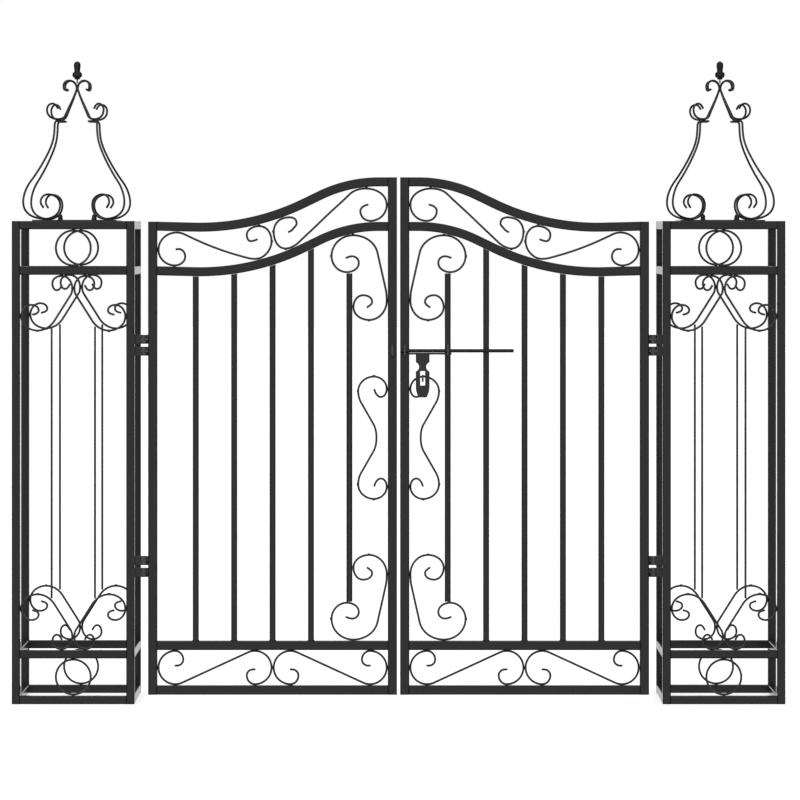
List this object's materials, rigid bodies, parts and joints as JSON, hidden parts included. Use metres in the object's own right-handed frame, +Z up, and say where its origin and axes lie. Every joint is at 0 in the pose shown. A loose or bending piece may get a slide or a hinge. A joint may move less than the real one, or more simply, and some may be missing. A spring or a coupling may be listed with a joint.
{
  "type": "double ornamental wrought iron garden gate with box pillars",
  "caption": "Black scrolled garden gate with arched leaves hung between open square pillars with scroll finials, and a sliding bolt with a hasp.",
  "frame": {"origin": "middle of the foot of the left pillar's front post on the gate side, which carries the hinges", "axes": "+X across the gate to the right, +Y to the back, +Z up"},
  "size_m": [1.22, 0.2077, 1.0174],
  "materials": {
    "black_tube": "satin",
    "black_rod": "satin",
    "black_fittings": "satin",
    "black_cast": "satin"
  },
  "bodies": {
    "pillars": {"left_pillar_posts": "black_tube", "left_pillar_rails": "black_tube", "left_pillar_rings": "black_rod", "left_pillar_uprights": "black_rod", "left_pillar_top_scrolls": "black_rod", "left_pillar_bottom_scrolls": "black_rod", "left_finial_bar": "black_tube", "left_finial_base": "black_fittings", "left_finial_scrolls": "black_rod", "left_finial_crown": "black_rod", "left_finial_tip": "black_cast", "left_pillar_hinges": "black_fittings", "right_pillar_posts": "black_tube", "right_pillar_rails": "black_tube", "right_pillar_rings": "black_rod", "right_pillar_uprights": "black_rod", "right_pillar_top_scrolls": "black_rod", "right_pillar_bottom_scrolls": "black_rod", "right_finial_bar": "black_tube", "right_finial_base": "black_fittings", "right_finial_scrolls": "black_rod", "right_finial_crown": "black_rod", "right_finial_tip": "black_cast", "right_pillar_hinges": "black_fittings"},
    "left_leaf": {"left_hinge_stile": "black_tube", "left_meeting_stile": "black_tube", "left_lower_rails": "black_tube", "left_top_rail": "black_tube", "left_arched_rail": "black_tube", "left_pickets": "black_tube", "left_top_band_scrolls": "black_rod", "left_bottom_band_scrolls": "black_rod", "left_lock_scrolls": "black_rod", "left_leaf_hinges": "black_fittings", "left_bolt_keeper": "black_rod"},
    "right_leaf": {"right_hinge_stile": "black_tube", "right_meeting_stile": "black_tube", "right_lower_rails": "black_tube", "right_top_rail": "black_tube", "right_arched_rail": "black_tube", "right_pickets": "black_tube", "right_top_band_scrolls": "black_rod", "right_bottom_band_scrolls": "black_rod", "right_lock_scrolls": "black_rod", "right_leaf_hinges": "black_fittings", "right_bolt_staples": "black_rod"},
    "bolt": {"sliding_bolt": "black_fittings"},
    "hasp": {"bolt_hasp": "black_fittings"}
  },
  "joints": [
    {"name": "left_leaf_hinge", "type": "hinge", "parent": "pillars", "child": "left_leaf", "pos_m": [0.021, 0, 0.217], "axis": [0, 0, 1], "range_deg": [0, 90]},
    {"name": "right_leaf_hinge", "type": "hinge", "parent": "pillars", "child": "right_leaf", "pos_m": [0.825, 0, 0.217], "axis": [0, 0, -1], "range_deg": [0, 90]},
    {"name": "bolt_slide", "type": "slide", "parent": "right_leaf", "child": "bolt", "axis": [1, 0, 0], "range_m": [-0.048, 0]},
    {"name": "hasp_turn", "type": "hinge", "parent": "right_leaf", "child": "hasp", "pos_m": [0.461, -0.01045, 0.5529], "axis": [-1, 0, 0], "range_deg": [0, 90]}
  ]
}
